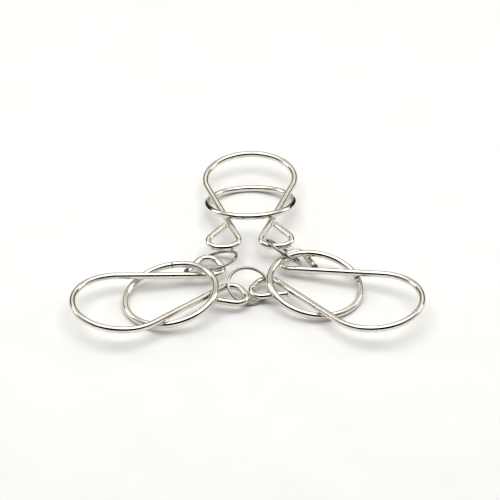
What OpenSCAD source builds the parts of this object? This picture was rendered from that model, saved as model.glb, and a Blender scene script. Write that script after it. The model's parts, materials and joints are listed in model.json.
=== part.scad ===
// Metal ring disentanglement puzzle.
// Three wire horseshoes lie with their looped feet together. A heavy ring is
// trapped round the legs of each one, and three thin links join the feet.

/* [Wire] */
// Diameter of the wire of the horseshoes and the heavy rings
wire_d = 3; // [2.7:0.1:3.1]
// Diameter of the thin wire of the links
link_wire_d = 1.4; // [1.1:0.1:1.5]
// How much thinner the thick wire is where it is bent
bend_thinning = 0.02; // [0.01:0.01:0.05]

/* [Horseshoe] */
// Radius of the round bow, to the middle of its wire
bow_r = 21; // [20.8:0.1:21.2]
// Half of the angle that the bow turns through
bow_angle = 109.5; // [109:0.5:110]
// Distance from the centre of the bow to the wire across the feet
foot_reach = 55; // [54.8:0.1:55.2]
// Bend radius where a leg turns outward into its foot
foot_bend_r = 5.5; // [5.2:0.1:5.7]
// Straight length of the wire across a foot
foot_run = 3.2; // [2.8:0.1:3.5]
// Bend radius at the outer corner of a foot's eye
eye_bend_r = 5.2; // [5:0.1:5.4]
// Angle that the outer corner of the eye turns through
eye_turn = 126; // [125:0.5:127]
// Gap between the cut end of the wire and the leg that it closes on
eye_gap = 0.2; // [0.15:0.05:0.4]

/* [Heavy ring] */
// Outer diameter of a heavy ring
ring_od = 44; // [43.6:0.1:44.2]
// Width of the butt seam where a ring's wire closes
seam_gap = 0.25; // [0.2:0.05:0.4]

/* [Link] */
// Outer diameter of a thin link
link_od = 20; // [19.8:0.1:20.2]

/* [Hidden] */
$fn = 48;

// How far a straight run of wire goes into the bend at each of its ends
run_overlap = 0.01;

// Height of the middle of a ring or link that leans with its low side on the table
function ring_height(lean) = (ring_od - wire_d) / 2 * sin(lean) + wire_d / 2;
function link_height(lean) = (link_od - link_wire_d) / 2 * sin(lean) + link_wire_d / 2;

// Where each piece lies: the place of its centre, then heading, pitch and roll.
// A horseshoe's heading points from its feet to its bow, and a positive pitch
// lifts the bow. A ring's or a link's pitch lifts the side that it heads to.
BACK_HORSESHOE = [[1.1, 49.2, 8.5], [90, 1, -1.5]];
LEFT_HORSESHOE = [[-56, -49.3, 8], [206.5, 4.5, 0]];
RIGHT_HORSESHOE = [[56, -48.3, 8], [-32.5, 5, 1.5]];
BACK_RING = [[1.3, 31.7, ring_height(15)], [96.5, -15, 0]];
LEFT_RING = [[-34.1, -39.8, ring_height(11.5)], [200, -11.5, 0]];
RIGHT_RING = [[30.2, -31.7, ring_height(10.5)], [-40, -10.5, 0]];
BACK_LEFT_LINK = [[-13.9, -11.7, link_height(21)], [-37, 21, 0]];
BACK_RIGHT_LINK = [[16.4, -9.5, 7.5], [213.5, 43, 0]];
FRONT_LINK = [[0.5, -32.1, link_height(25.5)], [115.5, 25.5, 0]];

// A leg comes off the bow at a tangent, so the wire turns back by the same
// angle at the foot, and the foot's wire runs straight across the horseshoe.
leg_run = (foot_reach + bow_r * cos(bow_angle) - foot_bend_r * (1 - cos(bow_angle)))
  / sin(bow_angle);

// Corner points of one eye, beside a leg that runs along the X axis: the foot's
// two bends, then the slope of the return wire back to the leg.
return_slope = 180 - bow_angle - eye_turn;
eye_depth = foot_bend_r * (1 - cos(bow_angle))
  + foot_run * sin(bow_angle)
  + eye_bend_r * (cos(bow_angle) - cos(bow_angle + eye_turn));
cut_clearance = wire_d / 2 + eye_gap + wire_d / 2 * abs(cos(return_slope));
return_run = (eye_depth - cut_clearance) / abs(sin(return_slope));

module piece_colour() {
  color([0.86, 0.85, 0.82])
    children();
}

// Wire that leaves the origin along X: each step is a run [length, 0], or a bend
// [bend radius, angle] that turns left when the angle is positive. Bending draws
// the wire out, so it is a hair thinner in a bend, and each run goes a hair into
// the bends beside it.
module bent_wire(steps, i = 0) {
  if (i < len(steps)) {
    size = steps[i][0];
    turn = steps[i][1];
    side = sign(turn);
    if (turn == 0) {
      translate([-run_overlap, 0, 0])
        rotate([0, 90, 0])
          cylinder(h = size + 2 * run_overlap, d = wire_d);
      translate([size, 0, 0])
        bent_wire(steps, i + 1);
    } else {
      translate([0, side * size, 0]) {
        rotate([0, 0, side > 0 ? -90 : 90 + turn])
          rotate_extrude(angle = abs(turn))
            translate([size, 0])
              circle(d = wire_d - bend_thinning);
        rotate([0, 0, turn])
          translate([0, -side * size, 0])
            bent_wire(steps, i + 1);
      }
    }
  }
}

// One leg and its foot, from the end of the bow to the cut end of the wire
module leg_and_foot() {
  rotate([0, 0, bow_angle])
    translate([bow_r, 0, 0])
      rotate([0, 0, 90])
        bent_wire([
          [leg_run, 0],
          [foot_bend_r, -bow_angle],
          [foot_run, 0],
          [eye_bend_r, -eye_turn],
          [return_run, 0]
        ]);
}

// A horseshoe lies flat, with its bow's centre at the origin and its feet on -X
module horseshoe() {
  rotate([0, 0, -bow_angle])
    rotate_extrude(angle = 2 * bow_angle)
      translate([bow_r, 0])
        circle(d = wire_d - bend_thinning);
  leg_and_foot();
  mirror([0, 1, 0])
    leg_and_foot();
}

// A ring's seam lies at an angle round it from the side that it heads to
module heavy_ring(seam_angle) {
  r = (ring_od - wire_d) / 2;
  seam = 2 * asin(seam_gap / 2 / r);
  rotate([0, 0, seam_angle + seam / 2])
    rotate_extrude(angle = 360 - seam)
      translate([r, 0])
        circle(d = wire_d);
}

module thin_link() {
  rotate_extrude()
    translate([(link_od - link_wire_d) / 2, 0])
      circle(d = link_wire_d);
}

module lay(pose) {
  piece_colour()
    translate(pose[0])
      rotate([0, 0, pose[1][0]])
        rotate([0, -pose[1][1], 0])
          rotate([pose[1][2], 0, 0])
            children();
}

module back_horseshoe() {
  lay(BACK_HORSESHOE)
    horseshoe();
}

module left_horseshoe() {
  lay(LEFT_HORSESHOE)
    horseshoe();
}

module right_horseshoe() {
  lay(RIGHT_HORSESHOE)
    horseshoe();
}

module back_ring() {
  lay(BACK_RING)
    heavy_ring(-73);
}

module left_ring() {
  lay(LEFT_RING)
    heavy_ring(-112);
}

module right_ring() {
  lay(RIGHT_RING)
    heavy_ring(58);
}

module back_left_link() {
  lay(BACK_LEFT_LINK)
    thin_link();
}

module back_right_link() {
  lay(BACK_RIGHT_LINK)
    thin_link();
}

module front_link() {
  lay(FRONT_LINK)
    thin_link();
}

back_horseshoe();
left_horseshoe();
right_horseshoe();
back_ring();
left_ring();
right_ring();
back_left_link();
back_right_link();
front_link();
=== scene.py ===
"""Metal ring disentanglement puzzle: three wire horseshoes, their heavy rings and the thin links."""
import json
import math

import bmesh
import bpy
import numpy as np
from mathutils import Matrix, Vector, kdtree, noise


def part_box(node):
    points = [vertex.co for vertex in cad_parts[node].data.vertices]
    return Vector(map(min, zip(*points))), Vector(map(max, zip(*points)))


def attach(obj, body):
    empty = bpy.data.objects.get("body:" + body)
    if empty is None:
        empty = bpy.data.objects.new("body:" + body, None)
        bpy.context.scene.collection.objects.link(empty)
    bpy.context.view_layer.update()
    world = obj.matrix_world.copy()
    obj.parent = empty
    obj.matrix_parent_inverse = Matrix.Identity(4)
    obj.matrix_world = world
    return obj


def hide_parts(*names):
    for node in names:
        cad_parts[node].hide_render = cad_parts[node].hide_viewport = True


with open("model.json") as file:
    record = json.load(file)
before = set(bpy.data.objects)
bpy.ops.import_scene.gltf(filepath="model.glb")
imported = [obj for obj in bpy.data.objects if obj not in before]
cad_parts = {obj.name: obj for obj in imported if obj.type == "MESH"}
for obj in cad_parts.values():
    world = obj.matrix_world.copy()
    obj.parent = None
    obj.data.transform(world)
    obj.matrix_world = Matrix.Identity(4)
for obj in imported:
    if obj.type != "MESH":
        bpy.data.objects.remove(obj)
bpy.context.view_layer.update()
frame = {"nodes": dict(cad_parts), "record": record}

MM = 0.001
SIDES = ("back", "left", "right")
LINKS = ("back_left_link", "back_right_link", "front_link")

# ---- Driving dimensions, in millimetres and degrees, as the CAD has them ----
WIRE_D = 3.0
LINK_WIRE_D = 1.4
BOW_R = 21.0
BOW_ANGLE = 109.5
FOOT_REACH = 55.0
FOOT_BEND_R = 5.5
FOOT_RUN = 3.2
EYE_BEND_R = 5.2
EYE_TURN = 126.0
EYE_GAP = 0.2
RING_OD = 44.0
RING_SEAM = 0.25
LINK_OD = 20.0

# The seam of a link, which is too fine for the CAD to have
LINK_SEAM = 0.06

# ---- How finely the wire is drawn: lengths in millimetres, and counts ----
STATION_STEP = 0.5
TIGHT_BEND = 8.0
WIRE_SIDES = 28
LINK_SIDES = 20
RIM_STEPS = 5

# ---- What the making and the handling left on the wire, in millimetres ----
# The share of its radius by which the tightest bend is flattened
BEND_OVAL = 0.015
HAND_WOBBLE = 0.05
WOBBLE_LENGTH = 14.0
SURFACE_RIPPLE = 0.006
RIPPLE_LENGTH = 3.5
WIRE_RIM = 0.22
LINK_RIM = 0.09
# How near another piece comes before the rub scuffs and the painted shade where pieces meet begin
RUB_AND_SHADE_REACH = 1.1

# How far apart the pieces sample the noise, so that no two wires wobble or ripple alike
WOBBLE_SPACING = 50.0
RIPPLE_SPACING = 30.0
LIFT_SHIFT = Vector((7, 3, 5))


def cosd(angle):
    return math.cos(math.radians(angle))


def sind(angle):
    return math.sin(math.radians(angle))


def unit(vector):
    return vector / np.linalg.norm(vector)


# ---------------------------------------------------------------- places, from the frame

def plane_of(node):
    """Centroid of a flat wire piece in millimetres, and the normal of its plane, facing up."""
    faces = frame["nodes"][node].data.polygons
    centres = np.array([face.center[:] for face in faces]) / MM
    areas = np.array([face.area for face in faces])
    middle = np.average(centres, axis=0, weights=areas)
    spread = (centres - middle) * np.sqrt(areas)[:, None]
    normal = np.linalg.svd(spread, full_matrices=False)[2][2]
    return middle, normal * math.copysign(1.0, normal[2])


def horseshoe_place(side):
    """Bow centre and axes of a horseshoe: x from its feet to its bow, z out of its plane."""
    loop = next(m for m in frame["record"]["mounts"] if m["name"] == side + "_bow_loop")
    centre = np.array(loop["pos_m"]) / MM
    normal = unit(np.array(loop["axis"]))
    middle, _ = plane_of(side + "_horseshoe")
    length = centre - middle
    length = unit(length - normal * (length @ normal))
    return centre, length, np.cross(normal, length), normal


def ring_place(node, seam_heading):
    """Centre and axes of a ring or link: x points to its seam, which lies at a level heading."""
    low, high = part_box(node)
    _, normal = plane_of(node)
    level = np.array([cosd(seam_heading), sind(seam_heading), 0.0])
    out = unit(level - normal * (level @ normal))
    return np.array((low + high) / 2) / MM, out, np.cross(normal, out), normal


# ---------------------------------------------------------------- wire paths

def bent_path(steps, start, heading):
    """Flat wire as rows of x, y, heading and bend. A step is (length, 0) or (radius, turn)."""
    x, y = start
    rows = [(x, y, heading, 0.0)]
    for size, turn in steps:
        if turn == 0:
            count = max(2, round(size / STATION_STEP))
            for run in np.linspace(0, size, count + 1)[1:]:
                rows.append((x + run * cosd(heading), y + run * sind(heading), heading, 0.0))
        else:
            side = math.copysign(1.0, turn)
            step = STATION_STEP / 2 if size < TIGHT_BEND else STATION_STEP
            count = round(abs(math.radians(turn)) * size / step)
            middle_x = x - side * size * sind(heading)
            middle_y = y + side * size * cosd(heading)
            for part in np.linspace(0, 1, count + 1)[1:]:
                now = heading + turn * part
                bend = FOOT_BEND_R / size * math.sin(math.pi * part)
                rows.append((middle_x + side * size * sind(now),
                             middle_y - side * size * cosd(now), now, bend))
            heading += turn
        x, y = rows[-1][:2]
    return np.array(rows)


def horseshoe_path():
    """A whole horseshoe, from the cut end of one foot, round the bow, to that of the other."""
    leg_run = (FOOT_REACH + BOW_R * cosd(BOW_ANGLE)
               - FOOT_BEND_R * (1 - cosd(BOW_ANGLE))) / sind(BOW_ANGLE)
    slope = 180 - BOW_ANGLE - EYE_TURN
    depth = (FOOT_BEND_R * (1 - cosd(BOW_ANGLE)) + FOOT_RUN * sind(BOW_ANGLE)
             + EYE_BEND_R * (cosd(BOW_ANGLE) - cosd(BOW_ANGLE + EYE_TURN)))
    cut = WIRE_D / 2 * (1 + cosd(slope)) + EYE_GAP
    steps = [(BOW_R, BOW_ANGLE), (leg_run, 0), (FOOT_BEND_R, -BOW_ANGLE), (FOOT_RUN, 0),
             (EYE_BEND_R, -EYE_TURN), ((depth - cut) / abs(sind(slope)), 0)]
    half = bent_path(steps, (BOW_R, 0.0), 90.0)
    other = half[:0:-1] * [1, -1, -1, 1]
    other[:, 2] += 180.0
    return np.vstack([other, half])


def ring_path(outer_d, wire_d, seam):
    """A ring that closes end to end on its x axis, where its seam is."""
    radius = (outer_d - wire_d) / 2
    gap = 2 * math.degrees(math.asin(seam / 2 / radius))
    start = (radius * cosd(gap / 2), radius * sind(gap / 2))
    return bent_path([(radius, 360 - gap)], start, 90 + gap / 2)


# ---------------------------------------------------------------- meshes

def stations(path, radius, rim):
    """Rows of arc length, x, y, heading, bend and wire radius, with a rounded rim at each cut end."""
    arc = np.concatenate([[0], np.cumsum(np.hypot(*np.diff(path[:, :2], axis=0).T))])
    turn = np.radians(np.linspace(0, 90, RIM_STEPS + 1))
    rim_arc = rim * (1 - np.cos(turn))
    rim_radius = radius - rim * (1 - np.sin(turn))
    middle = arc[(arc > rim * 1.5) & (arc < arc[-1] - rim * 1.5)]
    where = np.concatenate([rim_arc, middle, arc[-1] - rim_arc[::-1]])
    sizes = np.concatenate([rim_radius, np.full(len(middle), radius), rim_radius[::-1]])
    columns = [np.interp(where, arc, path[:, k]) for k in range(4)]
    return np.stack([where, *columns, sizes], 1)


def wire_mesh(name, path, place, wire_d, sides, rim, seed):
    """Sweeps round wire along a flat path that is laid at a place. Its cut ends are slot 1."""
    centre, along, across, normal = place
    mesh = bpy.data.meshes.new(name)
    bm = bmesh.new()
    space = bm.verts.layers.float_vector.new("wire_space")
    rings = []
    for arc, x, y, heading, bend, size in stations(path, wire_d / 2, rim):
        spot = Vector((x, y, seed * WOBBLE_SPACING)) / WOBBLE_LENGTH
        sway = HAND_WOBBLE * noise.noise(spot)
        lift = HAND_WOBBLE * noise.noise(spot + LIFT_SHIFT)
        left = -along * sind(heading) + across * cosd(heading)
        middle = centre + along * x + across * y + left * sway + normal * lift
        ring = []
        for angle in np.linspace(0, 360, sides, endpoint=False):
            u, v = cosd(angle), sind(angle)
            grain = Vector((arc, u * wire_d, v * wire_d + seed * RIPPLE_SPACING)) / RIPPLE_LENGTH
            ripple = SURFACE_RIPPLE * noise.noise(grain)
            wide = size * (1 - BEND_OVAL * bend) + ripple
            tall = size * (1 + BEND_OVAL * bend / 2) + ripple
            vert = bm.verts.new((middle + left * (wide * u) + normal * (tall * v)) * MM)
            vert[space] = (arc, size * u, size * v)
            ring.append(vert)
        rings.append(ring)
    for row, (near, far) in enumerate(zip(rings, rings[1:])):
        bare = min(row, len(rings) - 2 - row) < RIM_STEPS
        for i in range(sides):
            k = (i + 1) % sides
            wall = bm.faces.new((near[i], near[k], far[k], far[i]))
            wall.smooth = True
            wall.material_index = int(bare)
    for cut in (rings[0][::-1], rings[-1]):
        bm.faces.new(cut).material_index = 1
    bmesh.ops.recalc_face_normals(bm, faces=bm.faces)
    bm.to_mesh(mesh)
    bm.free()
    piece = bpy.data.objects.new(name, mesh)
    bpy.context.scene.collection.objects.link(piece)
    return piece


def mark_rubs_and_shade(pieces):
    """Gives each vertex how near it comes to another piece, for the scuffs where wires rub and the
    painted shade where pieces meet.
    """
    for piece in pieces:
        others = [v.co for other in pieces if other is not piece for v in other.data.vertices]
        tree = kdtree.KDTree(len(others))
        for i, spot in enumerate(others):
            tree.insert(spot, i)
        tree.balance()
        near = [tree.find(v.co)[2] / MM for v in piece.data.vertices]
        rub_and_shade = np.clip(1 - np.array(near) / RUB_AND_SHADE_REACH, 0, 1).astype(np.float32)
        piece.data.attributes.new("rub_and_shade", "FLOAT", "POINT").data.foreach_set("value", rub_and_shade)


# ---------------------------------------------------------------- materials

class Shader:
    """A material's node tree, with short calls for the nodes that the wire needs."""

    def __init__(self, name):
        self.material = bpy.data.materials.new(name)
        self.material.use_nodes = True
        self.tree = self.material.node_tree
        self.bsdf = self.tree.nodes["Principled BSDF"]

    def node(self, kind, **values):
        node = self.tree.nodes.new(kind)
        for key, value in values.items():
            setattr(node, key, value)
        return node

    def link(self, out, into):
        self.tree.links.new(out, into)

    def attribute(self, name, output):
        return self.node("ShaderNodeAttribute", attribute_name=name).outputs[output]

    def mapped(self, vector, scale, turn=(0, 0, 0), shift=(0, 0, 0)):
        node = self.node("ShaderNodeMapping")
        node.inputs["Scale"].default_value = scale
        node.inputs["Rotation"].default_value = [math.radians(a) for a in turn]
        node.inputs["Location"].default_value = shift
        self.link(vector, node.inputs["Vector"])
        return node.outputs["Vector"]

    def noise(self, vector, scale, detail=3.0, roughness=0.5):
        node = self.node("ShaderNodeTexNoise")
        node.inputs["Scale"].default_value = scale
        node.inputs["Detail"].default_value = detail
        node.inputs["Roughness"].default_value = roughness
        self.link(vector, node.inputs["Vector"])
        return node.outputs["Fac"]

    def ramp(self, value, low, high, start=0.0, end=1.0):
        node = self.node("ShaderNodeMapRange")
        node.inputs["From Min"].default_value = low
        node.inputs["From Max"].default_value = high
        node.inputs["To Min"].default_value = start
        node.inputs["To Max"].default_value = end
        self.link(value, node.inputs["Value"])
        return node.outputs["Result"]

    def combine(self, operation, first, second):
        node = self.node("ShaderNodeMath", operation=operation)
        for socket, value in zip(node.inputs, (first, second)):
            if isinstance(value, (int, float)):
                socket.default_value = value
            else:
                self.link(value, socket)
        return node.outputs["Value"]

    def mix(self, factor, first, second):
        node = self.node("ShaderNodeMix", data_type="RGBA")
        self.link(factor, node.inputs["Factor"])
        for socket, value in ((node.inputs[6], first), (node.inputs[7], second)):
            if isinstance(value, tuple):
                socket.default_value = (*value, 1.0)
            else:
                self.link(value, socket)
        return node.outputs[2]

    def bump(self, height, distance, normal=None):
        node = self.node("ShaderNodeBump")
        node.inputs["Distance"].default_value = distance
        self.link(height, node.inputs["Height"])
        if normal is not None:
            self.link(normal, node.inputs["Normal"])
        return node.outputs["Normal"]


# How dark tarnish and the painted shade where pieces meet are beside dull plate
TARNISH_AND_SHADE = 0.62


def nickel(name, bright, dull, polish, shift):
    """Nickel plate on drawn wire: draw lines, cloudy plating, scratches, rubbed spots and painted
    shade where pieces meet.

    The plate's colour runs from bright to dull, polish is its least roughness, and shift moves
    the patterns along the wire so that the materials differ.
    """
    s = Shader(name)
    space = s.attribute("wire_space", "Vector")
    rub_and_shade = s.attribute("rub_and_shade", "Fac")
    lines = s.noise(s.mapped(space, (0.06, 5.0, 5.0), shift=(shift, 0, 0)), 1.0, 4.0, 0.6)
    clouds = s.noise(s.mapped(space, (0.12, 0.30, 0.30), shift=(shift, 3, 1)), 1.0, 3.0)
    grime = s.noise(s.mapped(space, (0.5, 0.9, 0.9), shift=(shift, 8, 2)), 1.0, 5.0, 0.65)
    long_scratch = s.noise(s.mapped(space, (0.25, 9.0, 9.0), (0, 24, 31), (shift, 0, 4)), 1.0, 2.0)
    cross_scratch = s.noise(s.mapped(space, (8.0, 0.6, 0.6), (0, -12, 17), (shift, 5, 0)), 1.0, 2.0)
    scuffs = s.combine("MULTIPLY", s.ramp(cross_scratch, 0.52, 0.66), rub_and_shade)
    scratches = s.combine("ADD", s.ramp(long_scratch, 0.64, 0.70), scuffs)
    tone = s.mix(s.ramp(clouds, 0.35, 0.70), bright, dull)
    tarnish_and_shade = tuple(TARNISH_AND_SHADE * part for part in dull)
    tone = s.mix(s.ramp(grime, 0.60, 0.78, 0.0, 0.35), tone, tarnish_and_shade)
    # Painted shade: the tone darkens towards the tarnish tone where another piece comes near
    tone = s.mix(s.combine("MULTIPLY", rub_and_shade, 0.30), tone, tarnish_and_shade)
    s.link(tone, s.bsdf.inputs["Base Color"])
    s.bsdf.inputs["Metallic"].default_value = 1.0
    haze = s.ramp(clouds, 0.3, 0.7, polish, polish + 0.07)
    rough = s.combine("ADD", haze, s.ramp(lines, 0.3, 0.7, 0.0, 0.05))
    rough = s.combine("ADD", rough, s.combine("MULTIPLY", scratches, 0.16))
    rough = s.combine("ADD", rough, s.combine("MULTIPLY", rub_and_shade, 0.08))
    s.link(rough, s.bsdf.inputs["Roughness"])
    relief = s.bump(lines, 1.2e-6)
    relief = s.bump(scratches, -2.0e-6, relief)
    relief = s.bump(grime, 3.0e-6, relief)
    s.link(relief, s.bsdf.inputs["Normal"])
    return s.material


def cut_steel(name):
    """The bare cut end of a wire and its rim: dull dark steel with the cutter's drag lines."""
    s = Shader(name)
    space = s.attribute("wire_space", "Vector")
    drag = s.noise(s.mapped(space, (1.0, 7.0, 0.8), (12, 0, 0)), 1.0, 4.0, 0.6)
    spots = s.noise(s.mapped(space, (1.0, 1.6, 1.6)), 1.0, 3.0)
    tone = s.mix(s.ramp(spots, 0.35, 0.7), (0.17, 0.16, 0.145), (0.08, 0.072, 0.065))
    s.link(tone, s.bsdf.inputs["Base Color"])
    s.bsdf.inputs["Metallic"].default_value = 1.0
    s.link(s.ramp(drag, 0.3, 0.7, 0.34, 0.52), s.bsdf.inputs["Roughness"])
    s.link(s.bump(drag, 6.0e-6), s.bsdf.inputs["Normal"])
    return s.material


# ---------------------------------------------------------------- the puzzle

SLOT_LOOKS = {
    "horseshoe_wire": nickel("horseshoe_nickel", (0.81, 0.785, 0.73), (0.70, 0.67, 0.60), 0.07, 0.0),
    "ring_wire": nickel("ring_nickel", (0.82, 0.795, 0.735), (0.71, 0.68, 0.61), 0.06, 40.0),
    # Painted shade: the links' nickel has far darker tones than the rest, standing in for the dark
    # reflections on the thin link wire
    "link_wire": nickel("link_nickel_painted_dark", (0.43, 0.405, 0.36), (0.29, 0.27, 0.23), 0.10, 90.0),
}
CUT_LOOK = cut_steel("cut_steel")
SEAM_HEADINGS = {
    "back_ring": 23.5, "left_ring": 88.0, "right_ring": 18.0,
    "back_left_link": 70.0, "back_right_link": 140.0, "front_link": 250.0,
}


def puzzle_piece(node, slot, path, place, wire_d, sides, rim, seed):
    """One piece of wire in the place of its CAD node."""
    piece = wire_mesh(node + "_wire", path, place, wire_d, sides, rim, seed)
    piece.data.materials.append(SLOT_LOOKS[slot])
    piece.data.materials.append(CUT_LOOK)
    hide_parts(node)
    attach(piece, node)
    return piece


def make_puzzle():
    pieces = []
    for i, side in enumerate(SIDES):
        pieces.append(puzzle_piece(side + "_horseshoe", "horseshoe_wire", horseshoe_path(),
                                   horseshoe_place(side), WIRE_D, WIRE_SIDES, WIRE_RIM, 1 + i))
        ring = side + "_ring"
        pieces.append(puzzle_piece(ring, "ring_wire", ring_path(RING_OD, WIRE_D, RING_SEAM),
                                   ring_place(ring, SEAM_HEADINGS[ring]), WIRE_D, WIRE_SIDES,
                                   WIRE_RIM, 11 + i))
    for i, link in enumerate(LINKS):
        pieces.append(puzzle_piece(link, "link_wire", ring_path(LINK_OD, LINK_WIRE_D, LINK_SEAM),
                                   ring_place(link, SEAM_HEADINGS[link]), LINK_WIRE_D, LINK_SIDES,
                                   LINK_RIM, 21 + i))
    mark_rubs_and_shade(pieces)


# ---------------------------------------------------------------- floor, light and camera

# Each softbox has a name, a place and a size in metres, and its power in watts
SOFTBOXES = (
    ("overhead_softbox", (0.0, 0.04, 0.85), (1.2, 0.9), 7.0),
    ("left_softbox", (-0.85, 0.35, 0.42), (0.35, 0.3), 1.6),
    ("right_softbox", (0.85, 0.35, 0.42), (0.35, 0.3), 1.6),
)
FLOOR_SIZE = 3.0
VIEW_AIM = Vector((1.1, 2.5, 0.0)) * MM
VIEW_ELEVATION = 34.92
VIEW_DISTANCE = 1.110
VIEW_LENS = 174.1
SENSOR_WIDTH = 36.0
VIEW_REACH = 10.0

# The room's brightness in front and behind, by height as the sine of the elevation, and where
# along Y the front fades into the back
ROOM_FRONT = ((0.0, 0.003), (1.0, 0.30), (0.80, 0.004), (0.88, 0.12))
ROOM_BACK = ((0.0, 0.004), (1.0, 0.45), (0.34, 0.02), (0.42, 0.62), (0.52, 0.66), (0.57, 1.75),
             (0.64, 0.66))
ROOM_FADE = (-0.45, 0.15)
ROOM_TINT = (1.0, 0.96, 0.88)


def floor():
    """A plain pale floor with a very faint mottle."""
    mesh = bpy.data.meshes.new("floor")
    bm = bmesh.new()
    bmesh.ops.create_grid(bm, x_segments=4, y_segments=4, size=FLOOR_SIZE / 2)
    bm.to_mesh(mesh)
    bm.free()
    ground = bpy.data.objects.new("floor", mesh)
    bpy.context.scene.collection.objects.link(ground)
    s = Shader("floor_paper")
    where = s.node("ShaderNodeTexCoord").outputs["Object"]
    mottle = s.noise(where, 30.0, 3.0)
    s.link(s.mix(s.ramp(mottle, 0.3, 0.7), (0.90, 0.90, 0.89), (0.93, 0.93, 0.92)),
           s.bsdf.inputs["Base Color"])
    s.bsdf.inputs["Roughness"].default_value = 0.9
    s.bsdf.inputs["Specular IOR Level"].default_value = 0.1
    mesh.materials.append(s.material)


def softbox(name, spot, size, watts):
    """A rectangular soft light that faces the puzzle and is named, placed and sized as listed."""
    light = bpy.data.lights.new(name, "AREA")
    light.shape = "RECTANGLE"
    light.size, light.size_y = size
    light.energy = watts
    lamp = bpy.data.objects.new(name, light)
    lamp.location = spot
    lamp.rotation_euler = (-Vector(spot)).to_track_quat("-Z", "Y").to_euler()
    bpy.context.scene.collection.objects.link(lamp)


def surroundings():
    """A plain room: dim in front of the puzzle, with a bright band partway up at the back."""
    world = bpy.data.worlds.new("studio")
    bpy.context.scene.world = world
    world.use_nodes = True
    tree = world.node_tree
    toward = tree.nodes.new("ShaderNodeSeparateXYZ")
    tree.links.new(tree.nodes.new("ShaderNodeTexCoord").outputs["Generated"], toward.inputs[0])
    sides = []
    for stops in (ROOM_FRONT, ROOM_BACK):
        ramp = tree.nodes.new("ShaderNodeValToRGB")
        tree.links.new(toward.outputs["Z"], ramp.inputs["Fac"])
        for i, (height, level) in enumerate(stops):
            stop = ramp.color_ramp.elements[i] if i < 2 else ramp.color_ramp.elements.new(height)
            stop.position = height
            stop.color = [level * part for part in ROOM_TINT] + [1.0]
        sides.append(ramp)
    behind = tree.nodes.new("ShaderNodeMapRange")
    behind.inputs["From Min"].default_value = ROOM_FADE[0]
    behind.inputs["From Max"].default_value = ROOM_FADE[1]
    tree.links.new(toward.outputs["Y"], behind.inputs["Value"])
    room = tree.nodes.new("ShaderNodeMix")
    room.data_type = "RGBA"
    tree.links.new(behind.outputs["Result"], room.inputs["Factor"])
    tree.links.new(sides[0].outputs["Color"], room.inputs[6])
    tree.links.new(sides[1].outputs["Color"], room.inputs[7])
    tree.links.new(room.outputs[2], tree.nodes["Background"].inputs["Color"])


def camera():
    """A long lens that looks down across the puzzle from in front."""
    lens = bpy.data.cameras.new("camera")
    lens.lens = VIEW_LENS
    lens.sensor_width = SENSOR_WIDTH
    lens.clip_end = VIEW_REACH
    eye = bpy.data.objects.new("camera", lens)
    eye.location = VIEW_AIM + VIEW_DISTANCE * Vector((0, -cosd(VIEW_ELEVATION), sind(VIEW_ELEVATION)))
    eye.rotation_euler = (math.radians(90 - VIEW_ELEVATION), 0, 0)
    bpy.context.scene.collection.objects.link(eye)
    bpy.context.scene.camera = eye


make_puzzle()
floor()
for light in SOFTBOXES:
    softbox(*light)
surroundings()
camera()
bpy.context.scene.view_settings.view_transform = "Standard"
